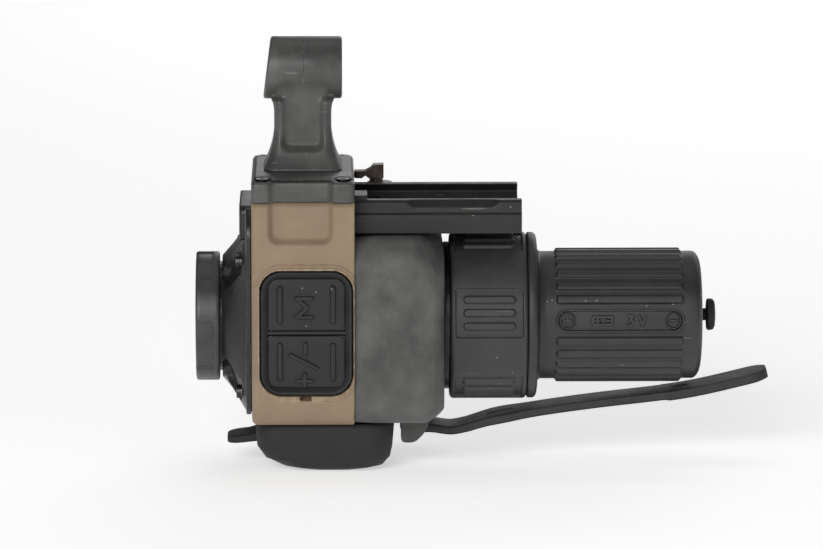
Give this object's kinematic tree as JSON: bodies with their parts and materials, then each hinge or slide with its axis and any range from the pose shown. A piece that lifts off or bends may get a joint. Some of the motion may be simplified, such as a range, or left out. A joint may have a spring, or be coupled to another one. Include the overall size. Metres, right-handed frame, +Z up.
{
  "type": "thermal imaging camera",
  "caption": "Clip-on thermal imager with focusing objective, keypad, ribbed battery tube, rail clamp, retention strap and an upright projector arm.",
  "frame": {"origin": "centre of the rail clamp's seat, on the face the rail rests on", "axes": "+X along the optical axis from the objective towards the battery tube, +Z up out of the clamp's seat, -Y out of the keypad side"},
  "size_m": [0.0987, 0.0366, 0.0738],
  "materials": {
    "tan_shell": "moulded glass-filled nylon, tan, fine matt texture",
    "black_shell": "moulded glass-filled nylon, charcoal, lightly mottled",
    "cone_black": "black anodised aluminium, satin",
    "arm_grey": "cast light alloy under dark grey paint, satin",
    "anodised_black": "hard-anodised aluminium, black, satin",
    "rail_black": "hard-anodised aluminium clamp, black, worn at the edges",
    "rubber_black": "moulded silicone rubber, black, matt",
    "key_rubber": "moulded silicone rubber keys, black, matt",
    "collar_grip": "rubber-coated grip collar, dark grey, matt",
    "tube_grip": "ribbed battery tube, dark grey, satin",
    "strap_rubber": "moulded rubber strap, dark grey, matt",
    "steel": "stainless steel, brushed",
    "black_steel": "black oxide steel",
    "bronze_lever": "dark brown anodised lever, satin",
    "germanium": "coated germanium, opaque to light, glossy",
    "window_glass": "coated optical glass",
    "circuit_board": "green solder mask",
    "gold_contact": "gold-plated contact",
    "cell_jacket": "printed cell wrapper, glossy",
    "chip_black": "moulded component body, black"
  },
  "bodies": {
    "camera_body": {"main_housing": "tan_shell", "front_housing": "cone_black", "front_gasket": "rubber_black", "rear_housing": "black_shell", "lens_barrel": "anodised_black", "front_screw_1": "black_steel", "front_screw_2": "black_steel", "front_screw_3": "black_steel", "front_screw_4": "black_steel", "keypad_frame": "key_rubber", "keypad_board": "circuit_board", "key_dome_1": "steel", "key_dome_2": "steel", "battery_neck": "anodised_black", "positive_contact": "gold_contact", "arm_base": "arm_grey", "projector_arm": "arm_grey", "arm_screw_1": "black_steel", "arm_screw_2": "black_steel", "arm_screw_3": "black_steel", "arm_screw_4": "black_steel", "fold_mirror": "window_glass", "projector_window": "window_glass", "relay_lens": "window_glass", "display_module": "chip_black", "display_cable": "gold_contact", "clamp_base": "rail_black", "cross_bolt": "black_steel", "lever_pin": "steel", "clamp_screw_1": "black_steel", "clamp_screw_2": "black_steel", "port_connector": "chip_black", "strap_pin": "black_steel", "main_board": "circuit_board", "processor": "chip_black", "sensor_board": "circuit_board", "thermal_sensor": "chip_black", "shutter": "chip_black"},
    "focus": {"focus_ring": "anodised_black", "lens_cell": "anodised_black", "objective_lens": "germanium"},
    "menu_key": {"key_menu": "key_rubber"},
    "adjust_key": {"key_adjust": "key_rubber"},
    "collar": {"lock_collar": "collar_grip"},
    "battery": {"battery_tube": "tube_grip", "battery_cell": "cell_jacket", "contact_spring": "steel", "strap_post": "rubber_black"},
    "jaw": {"clamp_jaw": "rail_black"},
    "lever": {"release_lever": "bronze_lever"},
    "cover": {"port_cover": "rubber_black"},
    "strap": {"retention_strap": "strap_rubber"}
  },
  "joints": [
    {"name": "focus_turn", "type": "hinge", "parent": "camera_body", "child": "focus", "pos_m": [-0.0395, 0, -0.0174], "axis": [1, 0, 0], "range_deg": [-60, 60]},
    {"name": "menu_press", "type": "slide", "parent": "camera_body", "child": "menu_key", "axis": [0, 1, 0], "range_m": [0, 0.0006], "stiffness_N_per_m": 3500},
    {"name": "adjust_rock", "type": "hinge", "parent": "camera_body", "child": "adjust_key", "pos_m": [-0.0226, -0.0173, -0.0226], "axis": [1, 0, 0], "range_deg": [-4, 4], "stiffness_Nm_per_rad": 0.12},
    {"name": "collar_turn", "type": "hinge", "parent": "camera_body", "child": "collar", "pos_m": [0.009, 0, -0.0174], "axis": [1, 0, 0], "range_deg": [0, 60]},
    {"name": "battery_draw", "type": "slide", "parent": "camera_body", "child": "battery", "axis": [1, 0, 0], "range_m": [0, 0.003]},
    {"name": "lever_swing", "type": "hinge", "parent": "camera_body", "child": "lever", "pos_m": [-0.0104, 0.0155, 0.00095], "axis": [0, 0, 1], "range_deg": [0, 90]},
    {"name": "jaw_slide", "type": "slide", "parent": "camera_body", "child": "jaw", "axis": [0, 1, 0], "range_m": [0, 0.0011]},
    {"name": "cover_pull", "type": "slide", "parent": "camera_body", "child": "cover", "axis": [0, 0, -1], "range_m": [0, 0.012]},
    {"name": "strap_swing", "type": "hinge", "parent": "camera_body", "child": "strap", "pos_m": [-0.004, 0, -0.0366], "axis": [0, 1, 0], "range_deg": [0, 70], "stiffness_Nm_per_rad": 0.05}
  ],
  "couplings": [
    {"joint": "lever_swing", "follows": "jaw_slide", "rad_per_m": 1428}
  ]
}
